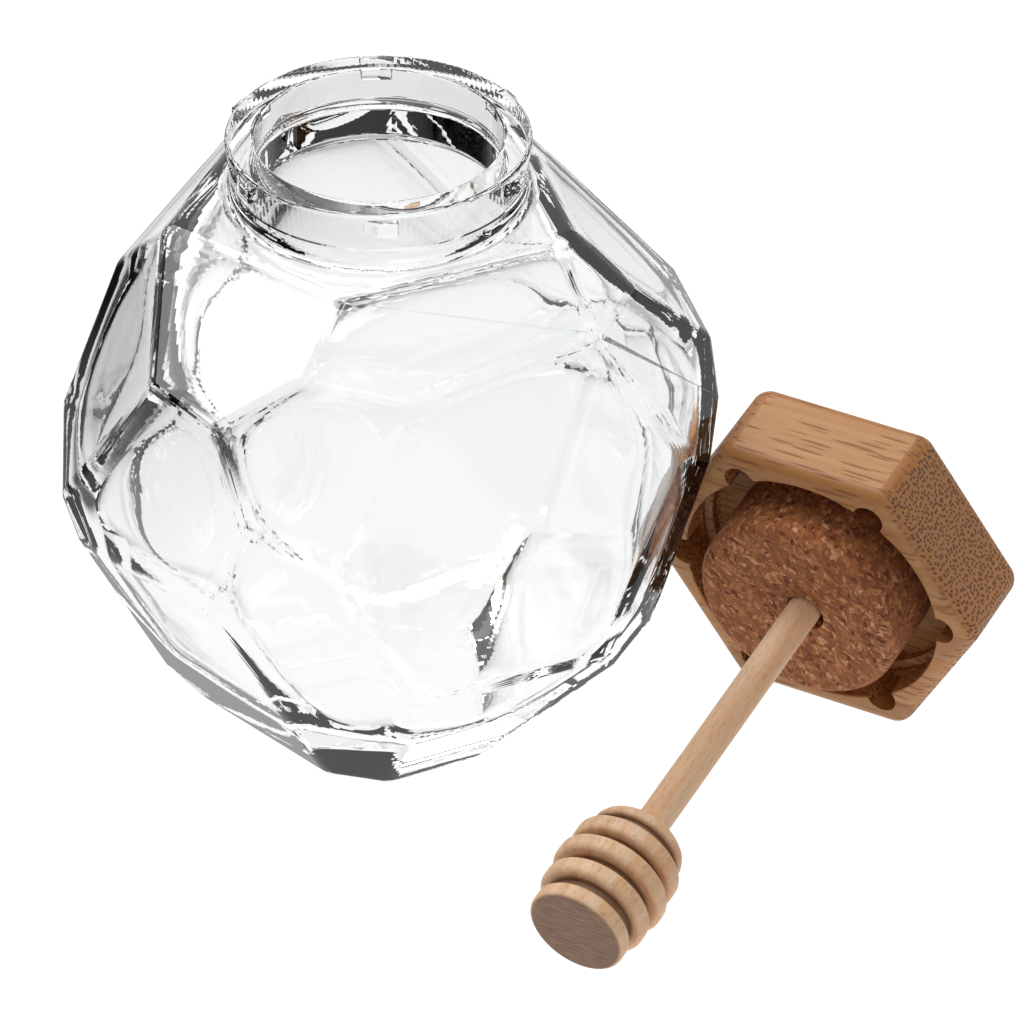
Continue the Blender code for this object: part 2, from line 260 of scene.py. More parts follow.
# %% Facets
POT_HEIGHT = 104.64
FACET_CENTRE_Z = 53.04
SHOULDER_Z = 95.04
EDGE_ROUND = 1.2
BLOCK_SIZE = 240.0
FACETS = {
    "front_hexagon": (27.6, -1.9, 37.7),
    "front_upper": (23.4, 43.5, 48.2),
    "front_left": (8.0, 7.5, 44.6),
    "left_upper": (-36.7, 55.9, 50.8),
    "left_middle": (-47.0, -6.7, 46.1),
    "left_side": (-82.1, 18.9, 46.4),
    "left_side_lower": (-95.0, -19.2, 49.2),
    "left_back_upper": (-111.1, 39.6, 47.1),
    "lower_front_left": (-13.9, -21.1, 44.2),
    "lower_left": (-45.6, -27.9, 46.1),
    "lower_front": (26.6, -27.0, 46.8),
    "lower_front_right": (49.0, -10.7, 47.0),
    "lower_right": (92.6, -16.8, 49.5),
    "lowest_right": (95.8, -51.2, 49.7),
    "right_middle": (66.1, 19.3, 49.5),
    "right_upper": (65.4, 39.2, 51.9),
    "right_side": (105.0, 0.9, 50.8),
    "right_back_upper": (105.5, 41.1, 47.1),
    "back_right": (146.0, 27.2, 44.5),
    "back_left": (-119.6, 17.6, 44.4),
    "back": (182.2, 2.0, 44.5),
    "back_right_upper": (146.4, 32.8, 45.7),
    "back_left_upper": (-165.0, 45.7, 49.9),
    "back_right_lower": (118.0, -28.1, 50.4),
    "back_lower": (165.0, -30.1, 49.3),
    "back_left_lower": (-158.6, -49.8, 44.5),
}
WALL = 4.3
SHOULDER_WALL = 4.0
BASE_THICKNESS = 9.0
planes = [(facing(a, e), d, WALL) for a, e, d in FACETS.values()]
planes.append((Vector((0, 0, 1)), SHOULDER_Z - FACET_CENTRE_Z, SHOULDER_WALL))
planes.append((Vector((0, 0, -1)), FACET_CENTRE_Z, BASE_THICKNESS))
middle = Vector((0, 0, FACET_CENTRE_Z))

# %% Cutting a block by planes
def cut_block(cuts):
    """The solid that is left inside a set of (normal, distance) planes about the pot's middle."""
    work = bmesh.new()
    bmesh.ops.create_cube(work, size=BLOCK_SIZE)
    bmesh.ops.translate(work, vec=middle, verts=work.verts)
    for normal, distance in cuts:
        cut = bmesh.ops.bisect_plane(
            work,
            geom=work.verts[:] + work.edges[:] + work.faces[:],
            plane_co=middle + normal * distance,
            plane_no=normal,
            clear_outer=True,
            dist=1e-5,
        )
        rim = [item for item in cut["geom_cut"] if isinstance(item, bmesh.types.BMEdge)]
        if rim:
            bmesh.ops.contextual_create(work, geom=rim)
    return work


work = cut_block([(normal, distance) for normal, distance, _ in planes])
print(f"{len(work.faces)} facets")
bmesh.ops.bevel(
    work, geom=work.edges[:], offset=EDGE_ROUND, offset_type="OFFSET", segments=5, profile=0.5, affect="EDGES"
)
glass_pot = add_piece("glass_pot", work)

# %% [markdown]
# ## Neck, lugs and mouth
# Above the shoulder the pot is round, so the neck is a turned profile: a nearly square lip, a straight wall, the
# thin ridge where the two mould parts met, and a small flare into the shoulder. The lugs are wedges that the lid
# locks under, and two small nipples sit on the flare.

# %% Neck
RIM_RADIUS = 23.9
BORE_RADIUS = 19.35
LIP_OUTER_ROUND = 0.7
LIP_INNER_ROUND = 0.6
NECK_RADIUS = 23.15
SEAM_RADIUS = 23.35
SEAM_Z = POT_HEIGHT - 6.8
FLARE_ROUND = 2.2
FLARE_Z = 97.24
NECK_FOOT_RADIUS = 25.6
NECK_FOOT_Z = 88.0
NECK_STEPS = 144
profile = [(0, NECK_FOOT_Z), (NECK_FOOT_RADIUS, NECK_FOOT_Z), (NECK_FOOT_RADIUS, SHOULDER_Z - 0.14)]
profile += arc((NECK_RADIUS + FLARE_ROUND, FLARE_Z), FLARE_ROUND, 258, 180, 10)
profile += [(NECK_RADIUS, SEAM_Z - 0.32), (SEAM_RADIUS, SEAM_Z - 0.12)]
profile += [(SEAM_RADIUS, SEAM_Z + 0.12), (NECK_RADIUS, SEAM_Z + 0.32)]
profile += arc((RIM_RADIUS - LIP_OUTER_ROUND, POT_HEIGHT - LIP_OUTER_ROUND), LIP_OUTER_ROUND, 0, 90, 8)
profile += [(0, POT_HEIGHT)]
carve(glass_pot, "UNION", add_piece("neck_blank", lathe(profile, NECK_STEPS)))

# %% Lugs and nipples
LUG_COUNT = 6
LUG_HALF_WIDTH = 2.7
LUG_BLOCK_WIDTH = 2.9
LUG_RADIUS = 24.9
LUG_RAMP_RADIUS = 23.9
LUG_TOP_Z = POT_HEIGHT - 0.9
LUG_BOTTOM_Z = POT_HEIGHT - 3.5
LUG_ROOT_RADIUS = 21.5
LUG_TURN = math.radians(1.7)
work = bmesh.new()
outline = [
    (-LUG_HALF_WIDTH, LUG_ROOT_RADIUS),
    (LUG_HALF_WIDTH, LUG_ROOT_RADIUS),
    (LUG_HALF_WIDTH, LUG_RADIUS),
    (LUG_HALF_WIDTH - LUG_BLOCK_WIDTH, LUG_RADIUS),
    (-LUG_HALF_WIDTH, LUG_RAMP_RADIUS),
]
floor_face = work.faces.new([work.verts.new((t, -r, LUG_BOTTOM_Z)) for t, r in outline])
raised = bmesh.ops.extrude_face_region(work, geom=[floor_face])["geom"]
top = [item for item in raised if isinstance(item, bmesh.types.BMVert)]
bmesh.ops.translate(work, vec=(0, 0, LUG_TOP_Z - LUG_BOTTOM_Z), verts=top)
bmesh.ops.bevel(work, geom=work.edges[:], offset=0.4, segments=3, profile=0.5, affect="EDGES")
lugs = add_piece("lug_ring", work)
grow(lugs, ring_tree, copies=LUG_COUNT, first_angle=LUG_TURN, finish=glass)
carve(glass_pot, "UNION", lugs)

work = bmesh.new()
spot = facing(46, 0) * 23.3 + Vector((0, 0, POT_HEIGHT - 7.8))
bmesh.ops.create_icosphere(work, subdivisions=3, radius=0.75, matrix=Matrix.Translation(spot))
nipples = add_piece("nipple_pair", work)
grow(nipples, ring_tree, copies=2, first_angle=0.0, finish=glass)
carve(glass_pot, "UNION", nipples)

# %% [markdown]
# ## The hollow
# Inside, the glass was pushed out by air, so the walls follow the facets but every edge is broad and soft. The
# same planes, each moved in by the wall, are cut from a second block. Each face then gets a smaller copy of
# itself in its middle, and the subdivision keeps those middles flat and rounds all that lies between them.

# %% Cavity
FLAT_SHARE = 0.62
TOP_FLAT_SHARE = 0.86
SOFT_LEVELS = 4
FLOW_MM = 13.0
FLOW_HEIGHT = 0.12
work = cut_block([(normal, distance - wall) for normal, distance, wall in planes])
bmesh.ops.remove_doubles(work, verts=work.verts, dist=0.4)
for face in work.faces[:]:
    centre = face.calc_center_median()
    share = TOP_FLAT_SHARE if centre.z > SHOULDER_Z - SHOULDER_WALL - 1 else FLAT_SHARE
    corners = face.verts[:]
    inner = [work.verts.new(centre + (vert.co - centre) * share) for vert in corners]
    for i, vert in enumerate(corners):
        after = (i + 1) % len(corners)
        work.faces.new((vert, corners[after], inner[after], inner[i]))
    work.faces.new(inner)
    work.faces.remove(face)
hollow = add_piece("cavity_tool", work)
soften = hollow.modifiers.new("soften", "SUBSURF")
soften.levels = SOFT_LEVELS
bake(hollow)
outward = [vert.normal.copy() for vert in hollow.data.vertices]
for vert, normal in zip(hollow.data.vertices, outward):
    vert.co += normal * FLOW_HEIGHT * MM * noise.noise(vert.co / (FLOW_MM * MM))
print(f"cavity {hollow.dimensions.x / MM:.1f} mm wide, {len(hollow.data.polygons)} faces")
carve(glass_pot, "DIFFERENCE", hollow)

# %% Mouth
lip = (BORE_RADIUS + LIP_INNER_ROUND, POT_HEIGHT - LIP_INNER_ROUND)
THROAT_ROUND = 1.2
throat_z = SHOULDER_Z - SHOULDER_WALL + THROAT_ROUND - 0.1
profile = [(0, FACET_CENTRE_Z), (BORE_RADIUS - 2, FACET_CENTRE_Z)]
profile += [(BORE_RADIUS - 2, throat_z - THROAT_ROUND - 3)]
profile += [(BORE_RADIUS + THROAT_ROUND, throat_z - THROAT_ROUND - 0.6)]
profile += arc((BORE_RADIUS + THROAT_ROUND, throat_z), THROAT_ROUND, 270, 180, 10)
profile += arc(lip, LIP_INNER_ROUND, 180, 95, 6)
profile += [(lip[0], POT_HEIGHT + 3), (0, POT_HEIGHT + 3)]
carve(glass_pot, "DIFFERENCE", add_piece("mouth_tool", lathe(profile, NECK_STEPS)))

# %% Shading the pot
work = bmesh.new()
work.from_mesh(glass_pot.data)
bmesh.ops.dissolve_degenerate(work, dist=1e-7, edges=work.edges)
open_edges = sum(not edge.is_manifold for edge in work.edges)
work.to_mesh(glass_pot.data)
work.free()
even_shading(glass_pot, 32)
glass_pot.data.materials.clear()
glass_pot.data.materials.append(glass)
print(f"glass pot: {len(glass_pot.data.polygons)} faces, {open_edges} open edges")

# %% [markdown]
# ## Where the lid lies
# The lid stands on one edge, turned to the right and leaning a little. Its own axes are used for the lid, the
# cork and the dipper: X to a corner, along the bamboo's fibres, and Z out of the open side.

# %% The lid's axes
LID_CENTRE = Vector((68.35, -9.43, 24.88))
azimuth, slope = math.radians(29.05), math.radians(10.27)
out = Vector((-math.sin(azimuth) * math.cos(slope), -math.cos(azimuth) * math.cos(slope), -math.sin(slope)))
corner = Vector((-math.cos(azimuth), math.sin(azimuth), 0))
side = out.cross(corner)
lying = Matrix.Translation(LID_CENTRE) @ Matrix((corner, side, out)).transposed().to_4x4()


def axes_node(tree, frame_mm):
    """Object coordinates turned into a piece's own axes, in millimetres."""
    place = add_node(tree, "ShaderNodeTexCoord")
    return add_node(
        tree,
        "ShaderNodeMapping",
        {
            "Vector": place.outputs["Object"],
            "Location": frame_mm.translation * MM,
            "Rotation": frame_mm.to_euler("XYZ"),
            "Scale": (MM, MM, MM),
        },
        vector_type="TEXTURE",
    )

# %% [markdown]
# ## Laminated bamboo
# The lid is milled from bamboo board: strips about 6.4 mm thick glued side by side. Bamboo has no rings but
# bundles of dark fibres in a pale ground, close together near the outer skin and further apart inwards. Cut
# along, they show as orange-brown streaks, and cut across, as dark dots. Long cells make the streaks, round ones
# in the cross-section make the dots, and how squarely a face meets the fibres tells which of them it shows.

# %% Bamboo finish
STRIP_MM = 6.4
STREAK_MM = 9.0
DASH_MM = 0.8
BUNDLE_MM = 0.74
bamboo, tree, shader = new_finish("laminated_bamboo", "C79A62", 0.5)
axes = axes_node(tree, lying)
own_normal = add_node(tree, "ShaderNodeTexCoord")
parts = add_node(tree, "ShaderNodeSeparateXYZ", {0: axes.outputs[0]})
strips = add_node(
    tree, "ShaderNodeMath", {0: parts.outputs["Y"], 1: 1 / STRIP_MM, 2: 0.98}, operation="MULTIPLY_ADD"
)
strip = add_node(tree, "ShaderNodeMath", {0: strips.outputs[0]}, operation="FLOOR")
across = add_node(tree, "ShaderNodeMath", {0: strips.outputs[0]}, operation="FRACT")
tone = add_node(tree, "ShaderNodeTexWhiteNoise", {"W": strip.outputs[0]}, noise_dimensions="1D")
STRIP_OFFSET_MM = 37.0
shift = add_node(
    tree,
    "ShaderNodeMath",
    {0: strip.outputs[0], 1: STRIP_OFFSET_MM, 2: parts.outputs["X"]},
    operation="MULTIPLY_ADD",
)
shifted = add_node(
    tree, "ShaderNodeCombineXYZ", {"X": shift.outputs[0], "Y": parts.outputs["Y"], "Z": parts.outputs["Z"]}
)
long_cells = add_node(
    tree,
    "ShaderNodeVectorMath",
    {0: shifted.outputs[0], 1: (1 / STREAK_MM, 1 / DASH_MM, 1 / DASH_MM)},
    operation="MULTIPLY",
)
dash_cells = add_node(tree, "ShaderNodeTexVoronoi", {"Vector": long_cells.outputs[0], "Scale": 1.0})
dashes = add_node(
    tree,
    "ShaderNodeMapRange",
    {"Value": dash_cells.outputs["Distance"], "From Min": 0.4, "From Max": 0.24},
    interpolation_type="SMOOTHSTEP",
)
section = add_node(tree, "ShaderNodeCombineXYZ", {"X": parts.outputs["Y"], "Y": parts.outputs["Z"]})
dot_cells = add_node(
    tree,
    "ShaderNodeTexVoronoi",
    {"Vector": section.outputs[0], "Scale": 1 / BUNDLE_MM, "Randomness": 0.75},
    voronoi_dimensions="2D",
)
dot_size = add_node(tree, "ShaderNodeMapRange", {"Value": across.outputs[0], "To Min": 0.52, "To Max": 0.36})
dots = add_node(
    tree,
    "ShaderNodeMapRange",
    {"Value": dot_cells.outputs["Distance"], "From Min": dot_size.outputs[0], "From Max": 0.18},
    interpolation_type="SMOOTHSTEP",
)
stretch = add_node(
    tree, "ShaderNodeVectorMath", {0: shifted.outputs[0], 1: (0.05, 0.9, 0.9)}, operation="MULTIPLY"
)
cloud = add_node(tree, "ShaderNodeTexNoise", {"Vector": stretch.outputs[0], "Scale": 1.0, "Detail": 3.0})
facing_fibres = add_node(
    tree, "ShaderNodeVectorMath", {0: own_normal.outputs["Normal"], 1: corner}, operation="DOT_PRODUCT"
)
steep = add_node(tree, "ShaderNodeMath", {0: facing_fibres.outputs["Value"]}, operation="ABSOLUTE")
end_grain = add_node(
    tree, "ShaderNodeMapRange", {"Value": steep.outputs[0], "From Min": 0.35, "From Max": 0.75}
)
dark = add_node(
    tree, "ShaderNodeMix", {"Factor": end_grain.outputs[0], "A": dashes.outputs[0], "B": dots.outputs[0]}
)
side_ground = add_node(
    tree,
    "ShaderNodeValToRGB",
    {"Fac": across.outputs[0]},
    stops=[(0.0, "B87C42"), (1.0, "D39E66"), (0.3, "C48A4E")],
)
clouded = add_node(
    tree, "ShaderNodeMix", {0: cloud.outputs[0], 6: srgb("AE7034"), 7: side_ground.outputs[0]}, data_type="RGBA"
)
ground = add_node(
    tree,
    "ShaderNodeMix",
    {0: end_grain.outputs[0], 6: clouded.outputs[2], 7: srgb("BC7C42")},
    data_type="RGBA",
)
bundle_colour = add_node(
    tree, "ShaderNodeMix", {0: end_grain.outputs[0], 6: srgb("8C4C1E"), 7: srgb("3E2210")}, data_type="RGBA"
)
weight = add_node(
    tree, "ShaderNodeMapRange", {"Value": end_grain.outputs[0], "To Min": 0.7, "To Max": 0.85}
)
amount = add_node(tree, "ShaderNodeMath", {0: dark.outputs[0], 1: weight.outputs[0]}, operation="MULTIPLY")
bundled = add_node(
    tree,
    "ShaderNodeMix",
    {0: amount.outputs[0], 6: ground.outputs[2], 7: bundle_colour.outputs[2]},
    data_type="RGBA",
)
value = add_node(tree, "ShaderNodeMapRange", {"Value": tone.outputs[0], "To Min": 0.86, "To Max": 1.1})
toned = add_node(
    tree, "ShaderNodeHueSaturation", {"Color": bundled.outputs[2], "Value": value.outputs[0]}
)
tree.links.new(toned.outputs[0], shader.inputs["Base Color"])
sheen = add_node(tree, "ShaderNodeMapRange", {"Value": dark.outputs[0], "To Min": 0.46, "To Max": 0.62})
tree.links.new(sheen.outputs[0], shader.inputs["Roughness"])
pores = add_node(
    tree,
    "ShaderNodeBump",
    {"Strength": 0.5, "Distance": 0.04 * MM, "Height": dark.outputs[0]},
    invert=True,
)
tree.links.new(pores.outputs[0], shader.inputs["Normal"])

# %% [markdown]
# ## The lid
# A six-sided block with generously rounded edges, then a round pocket with an undercut groove that the lugs
# turn into, and six round entries that let them in. Cutting them as tools keeps the sharp cusps between them.

# %% Lid block
LID_CORNERS = 6
LID_CORNER_RADIUS = 29.44
LID_THICKNESS = 16.76
LID_EDGE_ROUND = 2.2
work = bmesh.new()
turns = [math.tau * i / LID_CORNERS for i in range(LID_CORNERS)]
work.faces.new(
    [work.verts.new((LID_CORNER_RADIUS * math.cos(t), LID_CORNER_RADIUS * math.sin(t), 0)) for t in turns]
)
grown = bmesh.ops.extrude_face_region(work, geom=work.faces[:])["geom"]
far = [item for item in grown if isinstance(item, bmesh.types.BMVert)]
bmesh.ops.translate(work, vec=(0, 0, -LID_THICKNESS), verts=far)
bmesh.ops.bevel(
    work, geom=work.edges[:], offset=LID_EDGE_ROUND, offset_type="OFFSET", segments=8, profile=0.5, affect="EDGES"
)
bamboo_lid = add_piece("bamboo_lid", work, lying)

# %% Pocket and entries
POCKET_RADIUS = 22.3
POCKET_DEPTH = 11.0
GROOVE_RADIUS = 23.4
GROOVE_TOP = 4.6
GROOVE_BOTTOM = 8.4
GROOVE_SLOPE = 0.5
NOTCH_RADIUS = 2.6
NOTCH_REACH = 25.4
NOTCH_DEPTH = 7.6
SOFT_EDGE = 0.35
profile = [
    (0, -POCKET_DEPTH),
    (POCKET_RADIUS - 0.4, -POCKET_DEPTH),
    (POCKET_RADIUS, -POCKET_DEPTH + 0.4),
    (POCKET_RADIUS, -GROOVE_BOTTOM - GROOVE_SLOPE),
    (GROOVE_RADIUS, -GROOVE_BOTTOM),
    (GROOVE_RADIUS, -GROOVE_TOP),
    (POCKET_RADIUS, -GROOVE_TOP + GROOVE_SLOPE),
]
profile += arc((POCKET_RADIUS + SOFT_EDGE, -SOFT_EDGE), SOFT_EDGE, 180, 100, 4)
profile += [(POCKET_RADIUS + SOFT_EDGE, 3), (0, 3)]
carve(bamboo_lid, "DIFFERENCE", add_piece("pocket_tool", lathe(profile, NECK_STEPS), lying))

work = bmesh.new()
bmesh.ops.create_cone(
    work,
    cap_ends=True,
    segments=48,
    radius1=NOTCH_RADIUS * MM,
    radius2=NOTCH_RADIUS * MM,
    depth=(3 + NOTCH_DEPTH) * MM,
    matrix=Matrix.Translation(Vector((NOTCH_REACH - NOTCH_RADIUS, 0, (3 - NOTCH_DEPTH) / 2)) * MM),
)
bmesh.ops.scale(work, vec=(1 / MM, 1 / MM, 1 / MM), verts=work.verts)
notch_tool = add_piece("notch_tool", work)
grow(notch_tool, ring_tree, copies=LID_CORNERS, first_angle=0.0, finish=bamboo)
notch_tool.data.transform(Matrix.Translation(LID_CENTRE * MM) @ lying.to_3x3().to_4x4())
carve(bamboo_lid, "DIFFERENCE", notch_tool)
even_shading(bamboo_lid, 32)
bamboo_lid.data.materials.clear()
bamboo_lid.data.materials.append(bamboo)
print(f"bamboo lid: {len(bamboo_lid.data.polygons)} faces")

# %% [markdown]
# ## Agglomerated cork
# The plug is ground cork pressed with a little binder: crumbs of one to two millimetres in many browns, some
# pale and some almost black. It is matt and slightly rough. Two sets of stretched cells, lying in different
# ways, give the crumbs their ragged lengths, and each cell has its own tone.

# %% Cork finish
CRUMB_MM = 0.75
cork_finish, tree, shader = new_finish("agglomerated_cork", "9C6B4B", 0.85)
shader.inputs["Specular IOR Level"].default_value = 0.25
axes = axes_node(tree, lying)
ragged = add_node(tree, "ShaderNodeTexNoise", {"Vector": axes.outputs[0], "Scale": 0.9, "Detail": 2.0})
wander = add_node(
    tree,
    "ShaderNodeVectorMath",
    {0: ragged.outputs["Color"], 1: (1.1, 1.1, 1.1), 2: axes.outputs[0]},
    operation="MULTIPLY_ADD",
)
crumbs = []
for stretch, tilt in (((1.0, 2.1, 1.4), 0.5), ((2.2, 1.0, 1.5), -0.4)):
    turned = add_node(
        tree, "ShaderNodeVectorRotate", {"Vector": wander.outputs[0], "Angle": tilt}, rotation_type="Z_AXIS"
    )
    sized = add_node(
        tree,
        "ShaderNodeVectorMath",
        {0: turned.outputs[0], 1: tuple(s / CRUMB_MM / 1.5 for s in stretch)},
        operation="MULTIPLY",
    )
    crumbs.append(
        add_node(tree, "ShaderNodeTexVoronoi", {"Vector": sized.outputs[0], "Scale": 1.0, "Randomness": 1.0})
    )
which = add_node(tree, "ShaderNodeTexNoise", {"Vector": axes.outputs[0], "Scale": 0.5, "Detail": 1.0})
chosen = add_node(
    tree, "ShaderNodeMapRange", {"Value": which.outputs[0], "From Min": 0.47, "From Max": 0.53}
)
blend_tone = add_node(
    tree,
    "ShaderNodeMix",
    {0: chosen.outputs[0], 6: crumbs[0].outputs["Color"], 7: crumbs[1].outputs["Color"]},
    data_type="RGBA",
)
tone = add_node(tree, "ShaderNodeSeparateColor", {0: blend_tone.outputs[2]})
crumb_colour = add_node(
    tree,
    "ShaderNodeValToRGB",
    {"Fac": tone.outputs[0]},
    stops=[(0.0, "5F351D"), (1.0, "D8A074"), (0.12, "8A5030"), (0.55, "A2653C"), (0.86, "B8784A")],
)
dust = add_node(tree, "ShaderNodeTexNoise", {"Vector": axes.outputs[0], "Scale": 4.0, "Detail": 3.0})
dusty = add_node(
    tree,
    "ShaderNodeMapRange",
    {"Value": dust.outputs[0], "From Min": 0.3, "From Max": 0.7, "To Min": 0.86, "To Max": 1.12},
)
final_cork = add_node(
    tree, "ShaderNodeHueSaturation", {"Color": crumb_colour.outputs[0], "Value": dusty.outputs[0]}
)
tree.links.new(final_cork.outputs[0], shader.inputs["Base Color"])
relief = add_node(
    tree,
    "ShaderNodeMath",
    {0: dust.outputs[0], 1: 0.8, 2: tone.outputs[0]},
    operation="MULTIPLY_ADD",
)
bump = add_node(tree, "ShaderNodeBump", {"Strength": 0.8, "Distance": 0.12 * MM, "Height": relief.outputs[0]})
tree.links.new(bump.outputs[0], shader.inputs["Normal"])

# %% Cork plug
CORK_RADIUS = 17.4
CORK_STANDS_OUT = 5.7
CORK_EDGE_ROUND = 2.0
CORK_DISH_RADIUS = 12.0
CORK_DISH_DEPTH = 0.7
GAP = 0.3
ROD_HOLE_RADIUS = 3.4
ROD_HOLE_DEPTH = 13.0
ROD_HOLE_SHIFT = (-0.3, 0.2, 0.0)
bottom = -POCKET_DEPTH + GAP
profile = [(0, bottom), (CORK_RADIUS - CORK_EDGE_ROUND, bottom)]
profile += [(CORK_RADIUS, bottom + CORK_EDGE_ROUND), (CORK_RADIUS, -3), (CORK_RADIUS, 0)]
profile += arc(
    (CORK_RADIUS - CORK_EDGE_ROUND, CORK_STANDS_OUT - CORK_EDGE_ROUND), CORK_EDGE_ROUND, 0, 90, 8
)
dish_steps = 14
for i in range(dish_steps + 1):
    r = CORK_DISH_RADIUS * (1 - i / dish_steps)
    dish = CORK_DISH_DEPTH * (0.5 + 0.5 * math.cos(math.pi * r / CORK_DISH_RADIUS))
    profile.append((r, CORK_STANDS_OUT - dish))
work = lathe(profile, NECK_STEPS)
for vert in work.verts:
    if vert.co.z > bottom + 1:
        push = 0.07 * noise.noise(vert.co / 1.6) - 0.05
        vert.co += Vector((vert.co.x, vert.co.y, 0)).normalized() * push
cork_plug = add_piece("cork_plug", work, lying)

ROD_EXIT = (-1.3, -0.4)
DIPPER_END = (0.3, 2.6, 79.5)
start = Vector((ROD_EXIT[0], ROD_EXIT[1], CORK_STANDS_OUT))
way = (Vector(DIPPER_END) - start).normalized()
tilt = Vector((0, 0, 1)).rotation_difference(way).to_matrix().to_4x4()
dipper_axes = lying @ Matrix.Translation(start) @ tilt
profile = [(0, -ROD_HOLE_DEPTH), (ROD_HOLE_RADIUS, -ROD_HOLE_DEPTH), (ROD_HOLE_RADIUS, 3), (0, 3)]
drilled = dipper_axes @ Matrix.Translation(ROD_HOLE_SHIFT)
carve(cork_plug, "DIFFERENCE", add_piece("rod_hole_tool", lathe(profile, 64), drilled))
even_shading(cork_plug, 35)
cork_plug.data.materials.clear()
cork_plug.data.materials.append(cork_finish)

# %% [markdown]
# ## The turned dipper
# One piece of pale close-grained hardwood, turned on a lathe: a straight rod, then five discs with narrow
# grooves that hold the honey. It shows short fine pores along the rod, a darker end where the grain is cut
# across, and darker grooves: partly browned by the cutter's heat, partly painted shade of their depth.

# %% Dipper finish
dipper_length = (Vector(DIPPER_END) - start).length
turned_wood, tree, shader = new_finish("turned_beech", "C39A7B", 0.55)
axes = axes_node(tree, dipper_axes)
parts = add_node(tree, "ShaderNodeSeparateXYZ", {0: axes.outputs[0]})
PORES_PER_MM = (3.4, 3.4, 0.35)
along = add_node(
    tree, "ShaderNodeVectorMath", {0: axes.outputs[0], 1: PORES_PER_MM}, operation="MULTIPLY"
)
pore_cells = add_node(tree, "ShaderNodeTexVoronoi", {"Vector": along.outputs[0], "Scale": 1.0})
pore = add_node(
    tree,
    "ShaderNodeMapRange",
    {"Value": pore_cells.outputs["Distance"], "From Min": 0.34, "From Max": 0.12},
    interpolation_type="SMOOTHSTEP",
)
rings = add_node(
    tree, "ShaderNodeVectorMath", {0: axes.outputs[0], 1: (0.5, 0.22, 0.025)}, operation="MULTIPLY"
)
ring_noise = add_node(
    tree,
    "ShaderNodeTexNoise",
    {"Vector": rings.outputs[0], "Scale": 1.0, "Detail": 4.0, "Roughness": 0.6},
)
wood_ground = add_node(
    tree,
    "ShaderNodeValToRGB",
    {"Fac": ring_noise.outputs[0]},
    stops=[(0.25, "E4A87A"), (0.75, "FADABA"), (0.5, "F0C49A")],
)
pore_weight = add_node(tree, "ShaderNodeMath", {0: pore.outputs[0], 1: 0.45}, operation="MULTIPLY")
pored = add_node(
    tree,
    "ShaderNodeMix",
    {0: pore_weight.outputs[0], 6: wood_ground.outputs[0], 7: srgb("8E5E3E")},
    data_type="RGBA",
)
flat_part = add_node(tree, "ShaderNodeCombineXYZ", {"X": parts.outputs["X"], "Y": parts.outputs["Y"]})
radius = add_node(tree, "ShaderNodeVectorMath", {0: flat_part.outputs[0]}, operation="LENGTH")
# Painted shade: the head is darker inside the discs' rims, partly the cutter's burn in the grooves and partly the
# shade that falls in them.
groove_depth_and_burn = add_node(
    tree,
    "ShaderNodeMapRange",
    {"Value": radius.outputs["Value"], "From Min": 8.0, "From Max": 7.0},
    interpolation_type="SMOOTHSTEP",
)
in_head = add_node(
    tree,
    "ShaderNodeMapRange",
    {"Value": parts.outputs["Z"], "From Min": dipper_length - 20, "From Max": dipper_length - 19},
)
at_end = add_node(
    tree,
    "ShaderNodeMapRange",
    {"Value": parts.outputs["Z"], "From Min": dipper_length - 0.35, "From Max": dipper_length - 0.02},
)
groove_shade_and_burn_mask = add_node(tree, "ShaderNodeMath", {0: groove_depth_and_burn.outputs[0], 1: in_head.outputs[0]}, operation="MULTIPLY")
groove_shade_and_burn_weight = add_node(tree, "ShaderNodeMath", {0: groove_shade_and_burn_mask.outputs[0], 1: 0.75}, operation="MULTIPLY")
shaded_and_burnt_grooves = add_node(
    tree,
    "ShaderNodeMix",
    {0: groove_shade_and_burn_weight.outputs[0], 6: pored.outputs[2], 7: srgb("5E3A26")},
    data_type="RGBA",
)
end_streaks = add_node(
    tree, "ShaderNodeVectorMath", {0: axes.outputs[0], 1: (0.35, 2.6, 0.3)}, operation="MULTIPLY"
)
end_noise = add_node(
    tree, "ShaderNodeTexNoise", {"Vector": end_streaks.outputs[0], "Scale": 1.0, "Detail": 4.0}
)
end_colour = add_node(
    tree, "ShaderNodeValToRGB", {"Fac": end_noise.outputs[0]}, stops=[(0.3, "745440"), (0.72, "A07C5E")]
)
ended = add_node(
    tree,
    "ShaderNodeMix",
    {0: at_end.outputs[0], 6: shaded_and_burnt_grooves.outputs[2], 7: end_colour.outputs[0]},
    data_type="RGBA",
)
tree.links.new(ended.outputs[2], shader.inputs["Base Color"])
bump = add_node(
    tree, "ShaderNodeBump", {"Strength": 0.5, "Distance": 0.03 * MM, "Height": pore.outputs[0]}, invert=True
)
tree.links.new(bump.outputs[0], shader.inputs["Normal"])

